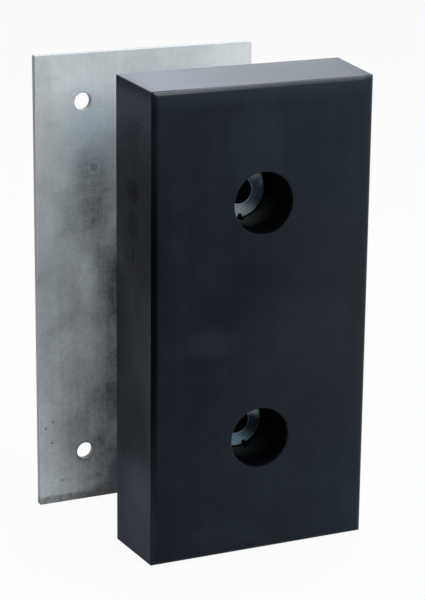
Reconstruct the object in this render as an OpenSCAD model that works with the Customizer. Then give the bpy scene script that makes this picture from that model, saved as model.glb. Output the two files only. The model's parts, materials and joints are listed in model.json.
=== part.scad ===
// Dock bumper: a moulded rubber block with two moulded-in steel bolt seats,
// and the steel mounting plate that goes behind it, standing apart from it.
// The origin is the middle of the block's back face. The impact face looks along -Y, and +Z is up.

/* [Rubber block] */
// Width of the back face
block_w = 250; // [150:1:400]
// Height of the back face
block_h = 500; // [380:1:900]
// Depth from the back face to the impact face
block_d = 85; // [70:1:160]
// Mould draft of the top and of the two upright sides, in degrees
draft = 2.4; // [0.5:0.1:5]
// Mould draft of the underside, in degrees
foot_draft = 1; // [0.3:0.1:5]
// Radius that rounds the impact face towards the sides
edge_r = 6; // [2:0.5:15]
// Angle through which that round turns before it meets the side at a crease, in degrees
edge_turn = 60; // [30:1:80]

/* [Bolt holes] */
// Distance between the two bolt holes
bolt_pitch = 250; // [120:1:300]
// Diameter of the clearance hole for a bolt
bolt_hole_d = 28; // [14:1:36]
// Diameter of a counterbore at the impact face
pocket_d = 64; // [56:1:100]
// Mould draft of a counterbore's wall, in degrees
pocket_draft = 3; // [0.5:0.1:5]
// Radius that softens the counterbore's mouth
mouth_r = 1; // [0.5:0.5:3]

/* [Bolt seats] */
// Rubber left behind a bolt seat
back_pad = 19; // [8:1:40]
// Thickness of the steel ring
seat_t = 8; // [4:1:14]
// How far the ring reaches into the rubber around the counterbore
seat_grip = 7; // [4:0.5:12]
// Chamfer at the front of the ring's bore
seat_chamfer = 0.5; // [0.3:0.1:3]
// Width of the locating notch at the foot of the counterbore
notch_w = 5.5; // [3:0.5:8]
// Length of the notch along the ring's radius, from one rounded end to the other
notch_l = 9.5; // [8.5:0.5:13]
// Height of the notch up the counterbore's wall
notch_rise = 8; // [2:0.5:12]
// Direction of the upper notch from the bolt's axis, in degrees above +X
upper_notch_angle = -88; // [-180:1:180]
// Direction of the lower notch from the bolt's axis, in degrees above +X
lower_notch_angle = -70; // [-180:1:180]

/* [Mounting plate] */
// Width of the plate
plate_w = 250; // [180:1:400]
// Height of the plate
plate_h = 500; // [400:1:900]
// Thickness of the plate
plate_t = 8; // [4:1:20]
// Diameter of an anchor hole
anchor_d = 19; // [10:0.5:30]
// Distance of the anchor holes from the plate's upright edges
anchor_inset_x = 53.5; // [25:0.5:80]
// Mean distance of the anchor holes from the plate's upper and lower edges
anchor_inset_z = 54; // [30:0.5:100]
// How far the four anchor holes sit above the middle of the plate
anchor_rise = 2; // [-10:0.5:10]
// Clear space between the block's back face and the plate
plate_gap = 121.5; // [20:0.5:250]
// Sideways place of the plate's middle
plate_shift = -41.5; // [-120:0.5:120]

/* [Hidden] */
$fn = 96;

rubber_colour = "#25292f";
seat_colour = "#8d979e";
plate_colour = "#aab0b3";

// Cutters run past the faces that they open
cut = 1;

// Heights along a bolt's axis, measured forwards from the block's back face
seat_back = back_pad;
seat_front = back_pad + seat_t;
pocket_depth = block_d - seat_front;

bolt_r = bolt_hole_d / 2;
pocket_r = pocket_d / 2;
pocket_foot_r = pocket_r - pocket_depth * tan(pocket_draft);
seat_r = pocket_foot_r + seat_grip;

upper_bolt_z = bolt_pitch / 2;
lower_bolt_z = -bolt_pitch / 2;

floor_z = -block_h / 2;
plate_mid_z = floor_z + plate_h / 2;
anchor_x = plate_w / 2 - anchor_inset_x;
anchor_z = plate_h / 2 - anchor_inset_z;

// Stands a shape that is drawn forwards along +Z on the block's back face at height z, pointing at -Y
module along_bolt(z) {
    translate([0, 0, z]) rotate([90, 0, 0]) children();
}

// What is cut from a section's front corner on its +X side, to leave an arc that is tangent to the impact
// face and ends in a crease on the flank
module front_corner(size, angle) {
    crease_y = -block_d + edge_r * (1 - cos(edge_turn));
    crease_u = size / 2 + crease_y * tan(angle);
    translate([crease_u - edge_r * sin(edge_turn), -block_d]) difference() {
        translate([0, -cut]) square([edge_r, edge_r + cut]);
        translate([0, edge_r]) circle(edge_r);
    }
}

// Section of the block across two opposite sides, with the draft of its -X and of its +X flank
module drafted_section(size, low_angle, high_angle) {
    low_u = -size / 2 + block_d * tan(low_angle);
    high_u = size / 2 - block_d * tan(high_angle);
    difference() {
        polygon([[-size / 2, 0], [size / 2, 0], [high_u, -block_d], [low_u, -block_d]]);
        mirror([1, 0]) front_corner(size, low_angle);
        front_corner(size, high_angle);
    }
}

// The block before it is bored: where its plan and its side view meet
module drafted_body() {
    intersection() {
        linear_extrude(block_h, center = true) drafted_section(block_w, draft, draft);
        rotate([0, -90, 0]) linear_extrude(block_w, center = true) drafted_section(block_h, foot_draft, draft);
    }
}

// Tapered counterbore with a softened mouth, drawn along a bolt's axis
module counterbore() {
    translate([0, 0, seat_front]) cylinder(h = pocket_depth, r1 = pocket_foot_r, r2 = pocket_r);
    translate([0, 0, block_d]) cylinder(h = cut, r = pocket_r);
    rotate_extrude() difference() {
        translate([0, block_d - mouth_r]) square([pocket_r + mouth_r, mouth_r + cut]);
        translate([pocket_r + mouth_r, block_d - mouth_r]) circle(mouth_r);
    }
}

// Round-ended notch at the foot of the counterbore, through the ring and up the rubber wall
module locating_notch(angle) {
    end_x = (notch_l - notch_w) / 2;
    rotate([0, 0, angle]) translate([pocket_foot_r, 0, seat_back]) linear_extrude(seat_t + notch_rise) {
        square([2 * end_x, notch_w], center = true);
        for (x = [-end_x, end_x]) translate([x, 0]) circle(d = notch_w);
    }
}

// Everything that is open or steel along one bolt's axis, as a cutter for the rubber
module bolt_passage(notch_angle) {
    translate([0, 0, -cut]) cylinder(h = seat_back + 2 * cut, r = bolt_r);
    translate([0, 0, seat_back]) cylinder(h = seat_t, r = seat_r);
    counterbore();
    locating_notch(notch_angle);
}

// Turned steel ring that the bolt head bears on
module bolt_seat(notch_angle) {
    color(seat_colour) difference() {
        translate([0, 0, seat_back]) cylinder(h = seat_t, r = seat_r);
        translate([0, 0, seat_back - cut]) cylinder(h = seat_t + 2 * cut, r = bolt_r);
        translate([0, 0, seat_front - seat_chamfer])
            cylinder(h = seat_chamfer, r1 = bolt_r, r2 = bolt_r + seat_chamfer);
        locating_notch(notch_angle);
    }
}

module rubber_block() {
    color(rubber_colour) difference() {
        drafted_body();
        along_bolt(upper_bolt_z) bolt_passage(upper_notch_angle);
        along_bolt(lower_bolt_z) bolt_passage(lower_notch_angle);
    }
}

module upper_bolt_seat() {
    along_bolt(upper_bolt_z) bolt_seat(upper_notch_angle);
}

module lower_bolt_seat() {
    along_bolt(lower_bolt_z) bolt_seat(lower_notch_angle);
}

// One round hole through the plate, along its thickness
module plate_hole(x, z, d) {
    translate([x, plate_t + cut, z]) rotate([90, 0, 0]) cylinder(h = plate_t + 2 * cut, d = d);
}

// Flat plate with four anchor holes at its corners and two holes in line with the block's bolts
module mounting_plate() {
    color(plate_colour) translate([plate_shift, plate_gap, 0]) difference() {
        translate([-plate_w / 2, 0, floor_z]) cube([plate_w, plate_t, plate_h]);
        for (side = [-1, 1], level = [-1, 1])
            plate_hole(side * anchor_x, plate_mid_z + anchor_rise + level * anchor_z, anchor_d);
        for (z = [upper_bolt_z, lower_bolt_z]) plate_hole(0, z, bolt_hole_d);
    }
}

rubber_block();
upper_bolt_seat();
lower_bolt_seat();
mounting_plate();
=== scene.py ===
"""Looks of a dock bumper: a moulded rubber block with steel bolt seats, and its steel plate behind it.

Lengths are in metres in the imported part's frame. The impact face looks along -Y and +Z is up.
"""

import json
import logging
import math
from collections.abc import Callable
from dataclasses import dataclass, field
from enum import Enum
from functools import reduce
from typing import Any

import bmesh
import bpy
import numpy as np
from mathutils import Matrix, Vector


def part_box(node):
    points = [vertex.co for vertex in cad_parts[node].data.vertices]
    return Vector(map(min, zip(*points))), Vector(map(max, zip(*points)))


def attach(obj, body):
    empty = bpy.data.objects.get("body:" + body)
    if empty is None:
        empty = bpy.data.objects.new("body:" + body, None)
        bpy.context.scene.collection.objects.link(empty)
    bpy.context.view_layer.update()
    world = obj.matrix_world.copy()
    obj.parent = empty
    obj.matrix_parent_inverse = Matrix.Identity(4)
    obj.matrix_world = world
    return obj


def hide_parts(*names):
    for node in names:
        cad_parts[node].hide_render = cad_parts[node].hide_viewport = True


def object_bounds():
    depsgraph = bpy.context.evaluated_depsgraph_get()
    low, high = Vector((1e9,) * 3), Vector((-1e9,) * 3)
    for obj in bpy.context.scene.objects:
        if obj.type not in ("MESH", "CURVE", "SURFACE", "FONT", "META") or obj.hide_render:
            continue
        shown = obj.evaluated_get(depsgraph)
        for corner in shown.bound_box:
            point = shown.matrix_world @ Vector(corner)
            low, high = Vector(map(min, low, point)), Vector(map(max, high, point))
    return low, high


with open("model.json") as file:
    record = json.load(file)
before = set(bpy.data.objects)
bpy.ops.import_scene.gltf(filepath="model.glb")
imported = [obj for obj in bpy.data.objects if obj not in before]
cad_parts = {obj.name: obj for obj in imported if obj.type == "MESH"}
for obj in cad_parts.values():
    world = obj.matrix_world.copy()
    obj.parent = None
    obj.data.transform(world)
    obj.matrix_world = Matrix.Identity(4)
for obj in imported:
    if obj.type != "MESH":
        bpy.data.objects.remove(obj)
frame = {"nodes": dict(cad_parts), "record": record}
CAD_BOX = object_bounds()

LOG = logging.getLogger("dock_bumper")
MM = 0.001
QUARTER = math.pi / 2
# Points closer than this become one when a skin is closed
WELD = 1e-6
# Slack for places that should be equal, and the decimals that they are rounded to
SLACK = 1e-9
DECIMALS = 9
# Places along an edge beside a rounded corner, in corner radii
CORNER_MARKS = np.array([0.0, 0.12, 0.3, 0.55, 0.8, 1.0, 1.6, 3.0])
# How many times as far from the edge's end as the last of them even steps start
CORNER_CLEAR = 1.5
# Rise of the noise over which a scratch comes out
CREST = 0.06
BODY = "root"
FLOOR_Z = CAD_BOX[0].z
POCKET_R = 32 * MM
WHITE = (1.0, 1.0, 1.0)

Array = np.ndarray
Colour = tuple[float, float, float]
Place = tuple[float, float, float]
Spot = tuple[float, float]


class Slot(Enum):
    """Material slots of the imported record."""

    RUBBER = "rubber"
    SEAT_STEEL = "seat_steel"
    PLATE_STEEL = "plate_steel"


class Node(Enum):
    """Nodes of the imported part."""

    BLOCK = "rubber_block"
    UPPER_SEAT = "upper_bolt_seat"
    LOWER_SEAT = "lower_bolt_seat"
    PLATE = "mounting_plate"


class Pattern(Enum):
    """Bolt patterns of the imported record."""

    BLOCK_BOLTS = "wall_bolts"
    PLATE_BOLTS = "plate_bolt_holes"
    ANCHORS = "plate_anchors"


@dataclass(frozen=True)
class Holes:
    """A bolt pattern: its middle, half its spacings across and up, and its holes' radius."""

    x: float
    z: float
    side: float
    level: float
    radius: float

    @classmethod
    def of(cls, pattern: Pattern) -> "Holes":
        """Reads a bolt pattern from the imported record.

        Args:
            pattern: The pattern.

        Returns:
            Its holes.
        """
        mount = next(m for m in frame["record"]["mounts"] if m["name"] == pattern.value)
        dims = mount["dims"]
        side, level = (dims.get(f"spacing_{axis}_mm", 0.0) / 2 * MM for axis in "xy")
        return cls(mount["pos_m"][0], mount["pos_m"][2], side, level, dims["hole_r_mm"] * MM)


BOLTS = Holes.of(Pattern.BLOCK_BOLTS)
PLATE_BOLTS = Holes.of(Pattern.PLATE_BOLTS)
ANCHORS = Holes.of(Pattern.ANCHORS)


# Shader graphs


class Shade:
    """A shader socket that takes part in Python arithmetic; each operation adds one Math node."""

    def __init__(self, graph: "Graph", socket: bpy.types.NodeSocket) -> None:
        """Wraps an output socket of the graph."""
        self.graph = graph
        self.socket = socket

    def _math(self, operation: str, *values: "Shade | float") -> "Shade":
        """Adds a Math node that works on the values in their order."""
        return self.graph.add("ShaderNodeMath", {"operation": operation}, dict(enumerate(values)))

    def __add__(self, other: "Shade | float") -> "Shade":
        """This value plus another."""
        return self._math("ADD", self, other)

    def __radd__(self, other: float) -> "Shade":
        """A number plus this value."""
        return self._math("ADD", other, self)

    def __sub__(self, other: "Shade | float") -> "Shade":
        """This value less another."""
        return self._math("SUBTRACT", self, other)

    def __rsub__(self, other: float) -> "Shade":
        """A number less this value."""
        return self._math("SUBTRACT", other, self)

    def __mul__(self, other: "Shade | float") -> "Shade":
        """This value times another."""
        return self._math("MULTIPLY", self, other)

    def __rmul__(self, other: float) -> "Shade":
        """A number times this value."""
        return self._math("MULTIPLY", other, self)

    def __pow__(self, power: float) -> "Shade":
        """This value to a power."""
        return self._math("POWER", self, power)

    def __abs__(self) -> "Shade":
        """This value without its sign."""
        return self._math("ABSOLUTE", self)

    def sine(self) -> "Shade":
        """The sine of this value, in radians."""
        return self._math("SINE", self)

    def sign(self) -> "Shade":
        """1 where this value is above zero and -1 where it is below."""
        return self._math("SIGN", self)

    def or_more(self, other: "Shade | float") -> "Shade":
        """The greater of this value and another."""
        return self._math("MAXIMUM", self, other)

    def hypot(self, other: "Shade") -> "Shade":
        """Length of the way that goes this far along one axis and the other along the next."""
        return (self * self + other * other) ** 0.5

    def rise(self, start: float, end: float) -> "Shade":
        """A smooth step of this value, 0 at start and 1 at end; start may be the greater."""
        sockets = {"Value": self, "From Min": start, "From Max": end}
        return self.graph.add("ShaderNodeMapRange", {"interpolation_type": "SMOOTHSTEP"}, sockets)

    def band(self, start: float, full: float, fade: float, end: float) -> "Shade":
        """A smooth band of this value: it rises from start to full and falls from fade to end."""
        return self.rise(start, full) * self.rise(end, fade)


@dataclass(frozen=True)
class Patch:
    """A soft patch of a finish: its middle and half sizes along two axes, and its weight."""

    middle: Spot
    half: Spot
    weight: float


class Graph:
    """A node tree that is filled from Python expressions."""

    def __init__(self, tree: bpy.types.NodeTree) -> None:
        """Empties the tree."""
        self.tree = tree
        tree.nodes.clear()

    def put(self, socket: bpy.types.NodeSocket, value: Any) -> None:
        """Links a Shade to a socket, or sets the socket's own value.

        Args:
            socket: An input of a node.
            value: A Shade, a number, a vector or a colour without its alpha.
        """
        if isinstance(value, Shade):
            self.tree.links.new(value.socket, socket)
        elif socket.type == "RGBA" and len(value) == 3:
            socket.default_value = (*value, 1.0)
        else:
            socket.default_value = value

    def add(
        self,
        kind: str,
        settings: dict[str, Any] | None = None,
        sockets: dict[int | str, Any] | None = None,
        output: int | str = 0,
    ) -> Shade:
        """Adds any node.

        Args:
            kind: The node's type.
            settings: The node's own properties, set before its sockets.
            sockets: Values or links of its inputs, by name or number.
            output: The output that is handed back.

        Returns:
            The chosen output.
        """
        node = self.tree.nodes.new(kind)
        for name, value in (settings or {}).items():
            setattr(node, name, value)
        for key, value in (sockets or {}).items():
            self.put(node.inputs[key], value)
        return Shade(self, node.outputs[output] if node.outputs else None)

    def place(self) -> Shade:
        """The point on the object, in the part's frame."""
        return self.add("ShaderNodeTexCoord", output="Object")

    def axis(self, letter: str) -> Shade:
        """One coordinate of the point on the object."""
        return self.add("ShaderNodeSeparateXYZ", sockets={0: self.place()}, output=letter)

    def facing(self, letter: str) -> Shade:
        """One component of the surface's direction."""
        normal = self.add("ShaderNodeNewGeometry", output="Normal")
        return self.add("ShaderNodeSeparateXYZ", sockets={0: normal}, output=letter)

    def mapped(self, scale: Place, turn: Place = (0, 0, 0), shift: Place = (0, 0, 0)) -> Shade:
        """The point on the object, changed.

        Args:
            scale: Stretch along each axis.
            turn: Turn about each axis, in degrees.
            shift: What is added last.

        Returns:
            The changed point.
        """
        turned = tuple(math.radians(angle) for angle in turn)
        sockets = {"Vector": self.place(), "Scale": scale, "Rotation": turned, "Location": shift}
        return self.add("ShaderNodeMapping", sockets=sockets)

    def noise(
        self,
        scale: float,
        detail: float = 2.0,
        rough: float = 0.5,
        twist: float = 0.0,
        at: Shade | None = None,
    ) -> Shade:
        """Cloudy noise from 0 to 1.

        Args:
            scale: Clouds per metre.
            detail: Octaves of finer noise.
            rough: Weight of the finer octaves.
            twist: Distortion of the clouds.
            at: Where it is read, or the point on the object.

        Returns:
            The noise value.
        """
        sockets = {
            "Vector": at or self.place(),
            "Scale": scale,
            "Detail": detail,
            "Roughness": rough,
            "Distortion": twist,
        }
        return self.add("ShaderNodeTexNoise", sockets=sockets)

    def drawn(self, scale: Place, detail: float, rough: float, twist: float = 0.0) -> Shade:
        """Noise with its own count of clouds per metre along each axis."""
        return self.noise(1.0, detail, rough, twist, self.mapped(scale))

    def scratches(self, spread: float, length: float, turn: Place, cut: float, seed: float) -> Shade:
        """Fine straight marks: noise drawn out along one axis and cut to its highest crests.

        Args:
            spread: Marks per metre across their run.
            length: Marks per metre along their run.
            turn: Turn of the run, which starts along Z, in degrees.
            cut: Noise value above which a mark shows.
            seed: Moves the marks to another place.

        Returns:
            1 on a mark and 0 beside it.
        """
        across = self.mapped((spread, spread, length), turn, (seed, seed, seed))
        return self.noise(1.0, 2.0, 0.6, 0.0, across).rise(cut, cut + CREST)

    def specks(self, scale: float, outer: float, inner: float) -> Shade:
        """Round specks in the middles of irregular cells.

        Args:
            scale: Cells per metre.
            outer: Distance from a cell's middle at which its speck starts, in cells.
            inner: Distance within which it is full.

        Returns:
            1 in a speck and 0 beside it.
        """
        sockets = {"Vector": self.place(), "Scale": scale}
        cells = self.add("ShaderNodeTexVoronoi", sockets=sockets, output="Distance")
        return cells.rise(outer, inner)

    def reach(self, axes: str, place: Spot) -> Shade:
        """Distance from a place along two axes."""
        first, second = (self.axis(axis) - middle for axis, middle in zip(axes, place))
        return first.hypot(second)

    def dots(self, axes: str, places: tuple[Spot, ...], outer: float, inner: float) -> Shade:
        """Small round dots.

        Args:
            axes: The two axes that they lie along, such as XZ.
            places: Their places along them.
            outer: Radius at which a dot starts.
            inner: Radius within which it is full.

        Returns:
            1 in a dot and 0 beside it.
        """
        found = (self.reach(axes, place).rise(outer, inner) for place in places)
        return reduce(Shade.or_more, found)

    def patch(self, axes: str, patch: Patch, ragged: Shade) -> Shade:
        """A soft patch: its weight in its middle, fading out towards its half sizes.

        Args:
            axes: The two axes that it lies along, such as XZ.
            patch: The patch.
            ragged: What is added to the squared distance, to fray the border.

        Returns:
            The patch's share.
        """
        first, second = (
            (self.axis(axis) - middle) * (1.0 / half)
            for axis, middle, half in zip(axes, patch.middle, patch.half)
        )
        return (first * first + second * second + ragged).rise(1.0, 0.0) * patch.weight

    def blend(self, factor: Shade, first: Any, second: Any) -> Shade:
        """A colour between two colours; factor 1 gives the second."""
        settings = {"data_type": "RGBA"}
        return self.add("ShaderNodeMix", settings, {0: factor, 6: first, 7: second}, output=2)

    def layered(self, ground: Any, *layers: tuple[Shade, Any]) -> Shade:
        """Lays colours over a colour.

        Args:
            ground: The colour under all others.
            layers: Each further colour's share and the colour, from the lowest to the uppermost.

        Returns:
            The colour that shows.
        """
        for share, colour in layers:
            ground = self.blend(share, ground, colour)
        return ground

    def bump(self, height: Shade, depth: float, strength: float, over: Shade | None = None) -> Shade:
        """A bent normal.

        Args:
            height: Relief from 0 to 1.
            depth: Height of the relief in metres.
            strength: Weight of the relief.
            over: A normal that this relief goes on top of.

        Returns:
            The normal.
        """
        sockets = {"Height": height, "Distance": depth, "Strength": strength}
        if over is not None:
            sockets["Normal"] = over
        return self.add("ShaderNodeBump", sockets=sockets)

    def principled(self, sockets: dict[int | str, Any]) -> Shade:
        """A Principled shader with these sockets."""
        return self.add("ShaderNodeBsdfPrincipled", sockets=sockets)

    def mixed(self, factor: Shade, first: Shade, second: Shade) -> Shade:
        """A shader between two shaders; factor 1 gives the second."""
        return self.add("ShaderNodeMixShader", sockets={0: factor, 1: first, 2: second})


def bolt_rise(graph: Graph) -> Shade:
    """Height above the nearer bolt's axis."""
    height = graph.axis("Z")
    return height - height.sign() * BOLTS.level


def bolt_reach(graph: Graph) -> Shade:
    """Distance from the nearer bolt's axis."""
    return graph.axis("X").hypot(bolt_rise(graph))


def seen_ray(graph: Graph) -> Shade:
    """1 for rays that show the background: camera, glossy and transmission rays."""
    kinds = ("Is Camera Ray", "Is Glossy Ray", "Is Transmission Ray")
    return reduce(Shade.or_more, (graph.add("ShaderNodeLightPath", output=kind) for kind in kinds))


# Finishes


class Finish:
    """A finish that makes its material once and hands it out."""

    name: str = "finish"

    def shader(self, graph: Graph) -> Shade:
        """Adds the finish's nodes and gives the shader."""
        raise NotImplementedError

    def material(self) -> bpy.types.Material:
        """Makes the finish's material, or finds it if it is there already.

        Returns:
            The material.
        """
        made = bpy.data.materials.get(self.name)
        if made is None:
            made = bpy.data.materials.new(self.name)
            made.use_nodes = True
            graph = Graph(made.node_tree)
            graph.add("ShaderNodeOutputMaterial", sockets={"Surface": self.shader(graph)})
        return made


class RubberField:
    """Places, directions, noises and zones on the rubber that its masks share.

    flank is 1 on the two upright sides, seen is 1 on what faces left, and waist is 1 half way up.
    """

    def __init__(self, graph: Graph) -> None:
        """Adds the shared nodes.

        Args:
            graph: The material's graph.
        """
        self.graph = graph
        self.x, self.y, self.z = (graph.axis(letter) for letter in "XYZ")
        self.height = self.z - FLOOR_Z
        self.side, self.up = graph.facing("X"), graph.facing("Z")
        self.clouds = graph.noise(5.0, 3.0, 0.5, 0.6).rise(0.38, 0.66)
        self.mottle = graph.noise(42.0, 4.0, 0.62, 0.3).rise(0.38, 0.66)
        self.fine = graph.noise(330.0, 3.0, 0.6).rise(0.34, 0.68)
        self.grain = graph.noise(1500.0, 2.0, 0.6)
        self.drift = graph.drawn((22.0, 22.0, 9.0), 3.0, 0.55, 0.3)
        self.flank = abs(self.side).rise(0.93, 0.995)
        self.seen = self.side.rise(0.2, -0.2)
        self.waist = self.height.band(0.10, 0.24, 0.34, 0.46)


@dataclass(frozen=True)
class RubberFinish(Finish):
    """Satin black rubber from a mould: cool tint, cloudy bloom, fine grain, matt scuffed flanks, with
    painted light, shade and reflection on its rounds, its top and in its counterbores.
    """

    name: str = "moulded_rubber"
    dark: Colour = (0.0030, 0.0052, 0.0090)
    bloom: Colour = (0.0167, 0.0250, 0.0345)
    warm_bloom: Colour = (0.0205, 0.0248, 0.0315)
    # Painted light on the counterbores' lower walls
    silt: Colour = (0.0700, 0.0790, 0.0830)
    flank_dark: Colour = (0.0050, 0.0062, 0.0085)
    flank_pale: Colour = (0.0620, 0.0750, 0.1000)
    # Near black: painted shade on the left round and in the counterbores, and the colour of the nicks
    edge: Colour = (0.0016, 0.0020, 0.0028)
    # Painted light on the front's right round
    rubbed: Colour = (0.0400, 0.0430, 0.0480)
    # Painted reflection of a blue sky on the top face
    sky: Colour = (0.030, 0.046, 0.088)
    dust: Colour = (0.085, 0.082, 0.080)
    rough: float = 0.42
    index: float = 1.45
    shine: float = 0.09
    buffed: float = 0.8
    buffed_shine: float = 0.66
    crease_y: float = -82 * MM
    nick_places: tuple[Spot, ...] = (
        (-0.0784, 0.1856),
        (-0.0751, 0.1704),
        (-0.0729, 0.1513),
        (-0.0788, 0.0877),
        (-0.0709, 0.0579),
        (-0.0670, 0.1912),
        (-0.0498, 0.2082),
        (-0.0676, 0.1988),
        (-0.0699, 0.1880),
        (-0.0728, 0.1824),
    )
    front_clouds: tuple[Patch, ...] = (
        Patch((-0.008, 0.186), (0.034, 0.056), 0.18),
        Patch((-0.058, -0.017), (0.032, 0.023), 0.26),
        Patch((0.044, -0.019), (0.090, 0.055), 0.08),
        Patch((-0.038, -0.227), (0.050, 0.018), 0.18),
        Patch((-0.080, -0.036), (0.050, 0.014), -0.13),
        Patch((-0.025, 0.0215), (0.070, 0.045), -0.10),
        Patch((-0.080, -0.067), (0.055, 0.026), -0.10),
    )
    smears: tuple[Patch, ...] = (
        Patch((-0.036, 0.118), (0.075, 0.110), 0.52),
        Patch((-0.040, -0.106), (0.085, 0.062), 0.50),
    )
    drops: tuple[Patch, ...] = (
        Patch((-0.040, 0.1395), (0.025, 0.021), 0.88),
        Patch((-0.038, 0.1045), (0.022, 0.029), 0.84),
        Patch((-0.040, 0.0740), (0.004, 0.018), 0.85),
    )
    low_haze: Patch = Patch((-0.062, -0.166), (0.050, 0.045), 0.30)
    top_wear: Patch = Patch((0.005, -0.04), (0.11, 0.12), 0.13)

    def shader(self, graph: Graph) -> Shade:
        """Bloom and painted light lighten the colour and dull the gloss; the flanks are matt and the top
        is buffed.

        Args:
            graph: The material's graph.

        Returns:
            Satin rubber, mixed with matt rubber and then with buffed rubber.
        """
        on = RubberField(graph)
        bloom, smudge, scuffs = self.bloom_share(on), self.smudge(on), self.scuffs(on)
        warm = on.height.band(0.08, 0.18, 0.28, 0.40)
        # Painted reflection: a blue sky tint on the top face, more of it to the left
        sky = on.up.rise(0.90, 0.99) * on.x.rise(0.0, -0.10)
        # Painted shade on the front's left round, which also turns it matt
        left = self.left_edge(on)
        # Painted light on the front's right round, which faces the key lamp
        right = on.side.rise(0.20, 0.70) * (1.0 - on.flank)
        # Painted shade: the counterbores' walls are near black and matt, with painted light low near the
        # seat
        pocket = bolt_reach(graph).rise(POCKET_R + 0.6 * MM, POCKET_R - 0.4 * MM)
        colour = graph.layered(
            self.dark,
            (bloom, graph.blend(warm, self.bloom, self.warm_bloom)),
            (on.flank, graph.blend(self.stains(on, smudge), self.flank_dark, self.flank_pale)),
            (sky * 0.45, self.sky),
            (left, self.edge),
            (right, self.rubbed),
            (pocket * 0.95, graph.blend(self.silt_share(on), self.edge, self.silt)),
            (scuffs, self.dust),
            (self.nicks(on), self.edge),
        )
        rough = bloom * 0.10 + scuffs * 0.2 + on.grain * 0.06 + self.rough
        waves = graph.bump(graph.noise(11.0, 2.0, 0.5), 1.6 * MM, 0.35)
        satin = {
            "Base Color": colour,
            "Roughness": rough,
            "IOR": self.index,
            "Specular IOR Level": self.shine,
            "Normal": graph.bump(on.grain, 0.12 * MM, 0.5, waves),
        }
        matt = satin | {"Roughness": 1.0, "Specular IOR Level": 0.0}
        buffed = satin | {"Roughness": rough - 0.10, "Specular IOR Level": self.buffed_shine}
        dull = (on.flank * (smudge * 0.34 + 0.46) + left * 0.9).or_more(pocket * 0.9)
        skin = graph.mixed(dull, graph.principled(satin), graph.principled(matt))
        return graph.mixed(self.gleam(on), skin, graph.principled(buffed))

    def bloom_share(self, on: RubberField) -> Shade:
        """How much bloom and painted light show: clouds, mottle and streaks, more of it to the right,
        high up and low.

        Args:
            on: The shared masks.

        Returns:
            The share of bloom and painted light.
        """
        x, height = on.x, on.height
        streaks = on.graph.drawn((60.0, 60.0, 5.0), 3.0, 0.6).rise(0.40, 0.72)
        right, right_rim = x.rise(-0.08, 0.14), x.rise(0.106, 0.122)
        high, low = height.rise(0.27, 0.46), height.rise(0.20, 0.03)
        upper_round = height.rise(0.474, 0.492) * on.up.rise(0.6, 0.1)
        low_left = on.side.rise(0.0, -0.5) * height.rise(0.15, 0.03)
        left_waist = x.rise(-0.090, -0.112) * on.waist
        bloom = on.clouds * 0.17 + on.mottle * 0.10 + on.fine * 0.13 + streaks * 0.08 - 0.03
        # Painted light: the front lightens towards the right, nearer the key lamp, and more on the right
        # round
        bloom = bloom + right * 0.38 + right_rim * 0.30
        bloom = bloom + high * (0.17 - x.rise(0.0, 0.08) * 0.16) + low * 0.10
        # Painted highlight on the round under the top crease, painted light on the left round near the
        # floor, painted shade on the left half way up
        bloom = bloom + upper_round * 0.55 + low_left * 0.40 - left_waist * 0.12
        ragged = (on.clouds - 0.5) * 0.6
        return sum((on.graph.patch("XZ", cloud, ragged) for cloud in self.front_clouds), bloom)

    def left_edge(self, on: RubberField) -> Shade:
        """Painted shade on the left round of the front, darkest half way up and weakest near the floor.

        Args:
            on: The shared masks.

        Returns:
            The painted shade's share.
        """
        turned = on.side.rise(-0.01, -0.16).or_more(on.x.rise(-0.1135, -0.1168) * 0.8)
        strength = on.waist * 0.42 + 0.54 - on.height.rise(0.14, 0.03) * 0.50
        return turned * (1.0 - on.flank) * strength

    def silt_share(self, on: RubberField) -> Shade:
        """Painted light low in the counterbores, towards the seat, where the key lamp shines in, with
        more in the upper one.

        Args:
            on: The shared masks.

        Returns:
            The painted light's share.
        """
        deep = on.y.band(-0.062, -0.030, -0.0298, -0.0280)
        low = bolt_rise(on.graph).rise(-0.003, -0.022)
        return deep * low * (on.z.sign() * 0.29 + 0.71)

    def scuffs(self, on: RubberField) -> Shade:
        """Fine pale scratches in two directions, here and there, mostly on the flanks.

        Args:
            on: The shared masks.

        Returns:
            The scratches' share.
        """
        steep = on.graph.scratches(420.0, 26.0, (0, 14, 0), 0.68, 3.0)
        slanting = on.graph.scratches(520.0, 40.0, (62, 0, 0), 0.696, 9.0)
        places = on.graph.noise(16.0, 2.0, 0.5, 0.3).rise(0.50, 0.70)
        return steep.or_more(slanting) * places * (on.flank * 0.35 + 0.04)

    def smudge(self, on: RubberField) -> Shade:
        """Dark smudges on the flanks, strongest on the left one.

        Broad frayed ones lie high and low, a band lies towards the back edge at mid height, and two
        drops have a run below them.

        Args:
            on: The shared masks.

        Returns:
            The dark's share.
        """
        ragged = (on.drift - 0.5) * 1.8
        back_band = on.y.rise(-0.052, -0.012) * on.z.band(-0.11, -0.05, 0.035, 0.085)
        found = [back_band * 0.60]
        found += [on.graph.patch("YZ", smear, ragged) for smear in self.smears]
        found += [on.graph.patch("YZ", drop, ragged * 0.4) for drop in self.drops]
        return reduce(Shade.or_more, found) * (on.seen * 0.7 + 0.3)

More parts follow.
